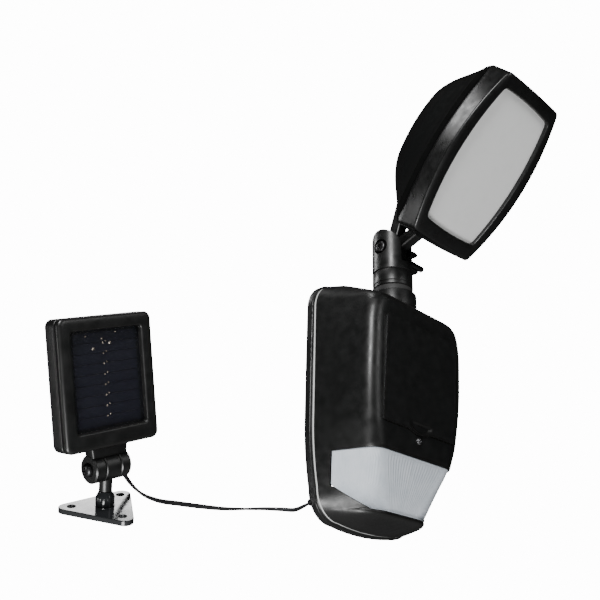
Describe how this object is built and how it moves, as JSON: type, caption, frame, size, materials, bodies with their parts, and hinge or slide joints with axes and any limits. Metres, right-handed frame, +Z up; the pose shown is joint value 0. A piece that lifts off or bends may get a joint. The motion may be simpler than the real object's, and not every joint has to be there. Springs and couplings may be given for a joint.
{
  "type": "solar flood light",
  "caption": "Wall-mounted black solar flood light: swivelling LED lamp head on a battery housing with a motion sensor, wired to a separate tilting solar panel on a bracket.",
  "frame": {"origin": "centre of the back plate's wall face, on its centre pad", "axes": "+Z up, +Y into the wall, the light faces -Y, and +X is to the right as seen from in front"},
  "size_m": [0.4294, 0.2055, 0.4438],
  "materials": {
    "black_plastic": "satin moulded black with a fine texture",
    "gloss_black": "glossy black",
    "grey_seal": "pale grey foam",
    "rubber": "matt black rubber",
    "lead_jacket": "satin black vinyl",
    "milky_lens": "milky translucent polyethylene with fine vertical ribs",
    "frosted_window": "frosted light grey diffuser",
    "white_plastic": "white",
    "cell_wrap": "green shrink wrap",
    "circuit_board": "green solder mask",
    "solar_cell": "dark blue silicon strips",
    "steel": "zinc plated",
    "dark_steel": "black zinc",
    "clear_cover": "clear gloss cover"
  },
  "bodies": {
    "housing": {"back_plate": "black_plastic", "housing_seal": "grey_seal", "front_housing": "black_plastic", "case_screw_1": "steel", "case_screw_2": "steel", "case_screw_3": "steel", "case_screw_4": "steel", "sensor_lens": "milky_lens", "battery_cell_1": "cell_wrap", "battery_cell_2": "cell_wrap", "battery_cell_3": "cell_wrap", "battery_cell_4": "cell_wrap", "battery_holder": "black_plastic", "control_board": "circuit_board", "mode_switch_body": "dark_steel", "sensor_board": "circuit_board", "motion_sensor": "steel", "swivel_washer": "rubber", "panel_tray": "black_plastic", "panel_bezel": "black_plastic", "solar_cells": "solar_cell", "panel_glass": "clear_cover", "knuckle_screw": "dark_steel", "knuckle_nut": "dark_steel", "panel_strain_relief": "rubber", "lead": "lead_jacket", "inlet_grommet": "rubber"},
    "battery_door": {"battery_door": "black_plastic"},
    "door_screw": {"door_screw": "dark_steel"},
    "mode_switch": {"mode_switch_slider": "white_plastic"},
    "lock_ring": {"pan_lock_ring": "black_plastic"},
    "swivel": {"clevis": "black_plastic", "swivel_nut": "steel", "pivot_bolt": "dark_steel"},
    "wing_nut": {"wing_nut": "dark_steel"},
    "lamp": {"lamp_arm": "black_plastic", "lamp_shell": "black_plastic", "lamp_bezel": "black_plastic", "lamp_window": "frosted_window", "lamp_seal": "rubber", "reflector": "white_plastic", "led_board": "white_plastic", "heat_sink": "steel"},
    "stem": {"bracket_stem": "black_plastic"},
    "bracket": {"bracket_base": "gloss_black"},
    "collar": {"bracket_collar": "gloss_black"}
  },
  "joints": [
    {"name": "battery_door_open", "type": "hinge", "parent": "housing", "child": "battery_door", "pos_m": [0, -0.0741, 0.0625], "axis": [-1, 0, 0], "range_deg": [0, 70]},
    {"name": "door_screw_turn", "type": "hinge", "parent": "housing", "child": "door_screw", "pos_m": [0, -0.06594, -0.03795], "axis": [0, -0.9972, -0.075], "continuous": true},
    {"name": "mode_switch_slide", "type": "slide", "parent": "housing", "child": "mode_switch", "axis": [0, 0, 1], "range_m": [-0.002, 0.002]},
    {"name": "lock_ring_turn", "type": "hinge", "parent": "housing", "child": "lock_ring", "pos_m": [0, -0.042, 0.118], "axis": [0, 0, 1], "continuous": true},
    {"name": "lamp_pan", "type": "hinge", "parent": "housing", "child": "swivel", "pos_m": [0, -0.042, 0.115], "axis": [0, 0, 1], "range_deg": [-75, 75]},
    {"name": "wing_nut_turn", "type": "hinge", "parent": "swivel", "child": "wing_nut", "pos_m": [0.025, -0.042, 0.15], "axis": [1, 0, 0], "continuous": true},
    {"name": "lamp_tilt", "type": "hinge", "parent": "swivel", "child": "lamp", "pos_m": [0, -0.042, 0.15], "axis": [1, 0, 0], "range_deg": [-35, 25]},
    {"name": "panel_tilt", "type": "hinge", "parent": "housing", "child": "stem", "pos_m": [-0.29267, -0.04561, -0.11516], "axis": [0.9211, -0.043, 0.387], "range_deg": [-40, 40]},
    {"name": "bracket_swivel", "type": "hinge", "parent": "stem", "child": "bracket", "pos_m": [-0.282, -0.0334, -0.1392], "axis": [-0.368, -0.421, 0.829], "range_deg": [-170, 170]},
    {"name": "collar_turn", "type": "hinge", "parent": "bracket", "child": "collar", "pos_m": [-0.282, -0.0334, -0.1392], "axis": [-0.368, -0.421, 0.829], "continuous": true}
  ]
}
